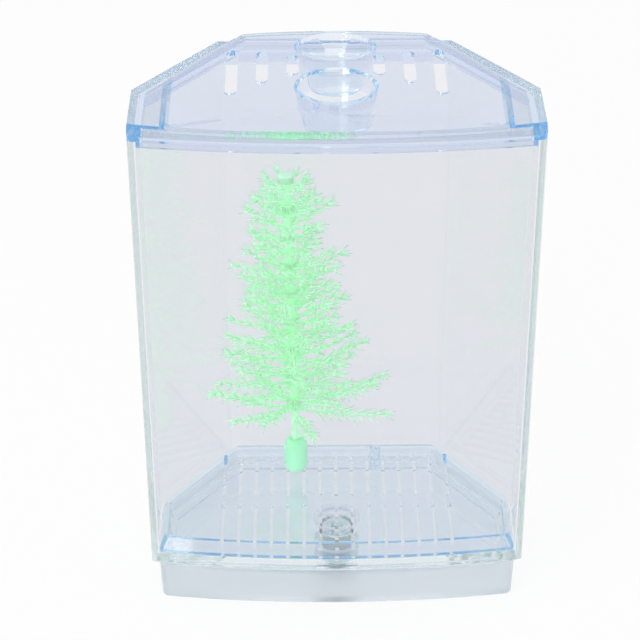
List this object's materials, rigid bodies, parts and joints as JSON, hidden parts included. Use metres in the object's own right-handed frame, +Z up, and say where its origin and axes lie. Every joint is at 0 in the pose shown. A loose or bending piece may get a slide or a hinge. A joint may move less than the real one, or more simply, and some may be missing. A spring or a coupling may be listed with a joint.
{
  "type": "fish breeding box",
  "caption": "Small six-sided clear tank with a bulged front on a tray base, a domed vented lid with sunk cups, a slotted floor grate, a soft plant and a lamp unit.",
  "frame": {"origin": "middle of the box's outline, on the underside of the base", "axes": "+Z up, -Y towards the curved front, +X to the right seen from the front"},
  "size_m": [0.105, 0.0628, 0.1446],
  "materials": {
    "tank_clear": "clear polished plastic",
    "base_frosted": "lightly frosted clear plastic",
    "lid_blue": "light blue clear plastic",
    "grate_blue": "light blue clear plastic",
    "plant_green": "soft pale green plastic",
    "unit_clear": "clear plastic tube",
    "lamp_clear": "clear lamp resin",
    "cell_steel": "plated cell can",
    "contact_metal": "plated spring wire",
    "seal_rubber": "black rubber ring",
    "cap_grey": "grey moulded cap"
  },
  "bodies": {
    "stand": {"base": "base_frosted", "led_housing": "unit_clear", "led_lamp": "lamp_clear", "lamp_leads": "contact_metal", "cell_lower": "cell_steel", "cell_upper": "cell_steel", "contact_spring": "contact_metal", "cap_seal": "seal_rubber"},
    "cap": {"battery_cap": "cap_grey"},
    "tank": {"tank_body": "tank_clear"},
    "grate": {"grate": "grate_blue"},
    "plant": {"plant_foot": "plant_green", "plant_stem": "plant_green", "plant_tier_1": "plant_green", "plant_tier_2": "plant_green", "plant_tier_3": "plant_green", "plant_tier_4": "plant_green", "plant_tier_5": "plant_green", "plant_tier_6": "plant_green", "plant_tier_7": "plant_green", "plant_tier_8": "plant_green", "plant_tier_9": "plant_green"},
    "lid": {"lid": "lid_blue"}
  },
  "joints": [
    {"name": "tank_lift", "type": "slide", "parent": "stand", "child": "tank", "axis": [0, 0, 1], "range_m": [0, 0.025]},
    {"name": "lid_lift", "type": "slide", "parent": "tank", "child": "lid", "axis": [0, 0, 1], "range_m": [0, 0.03]},
    {"name": "grate_lift", "type": "slide", "parent": "tank", "child": "grate", "axis": [0, 0, 1], "range_m": [0, 0.012]},
    {"name": "plant_pull", "type": "slide", "parent": "grate", "child": "plant", "axis": [0, 0, 1], "range_m": [0, 0.008]},
    {"name": "cap_twist", "type": "hinge", "parent": "stand", "child": "cap", "pos_m": [0, -0.0106, 0], "axis": [0, 0, 1], "range_deg": [-90, 0]}
  ]
}
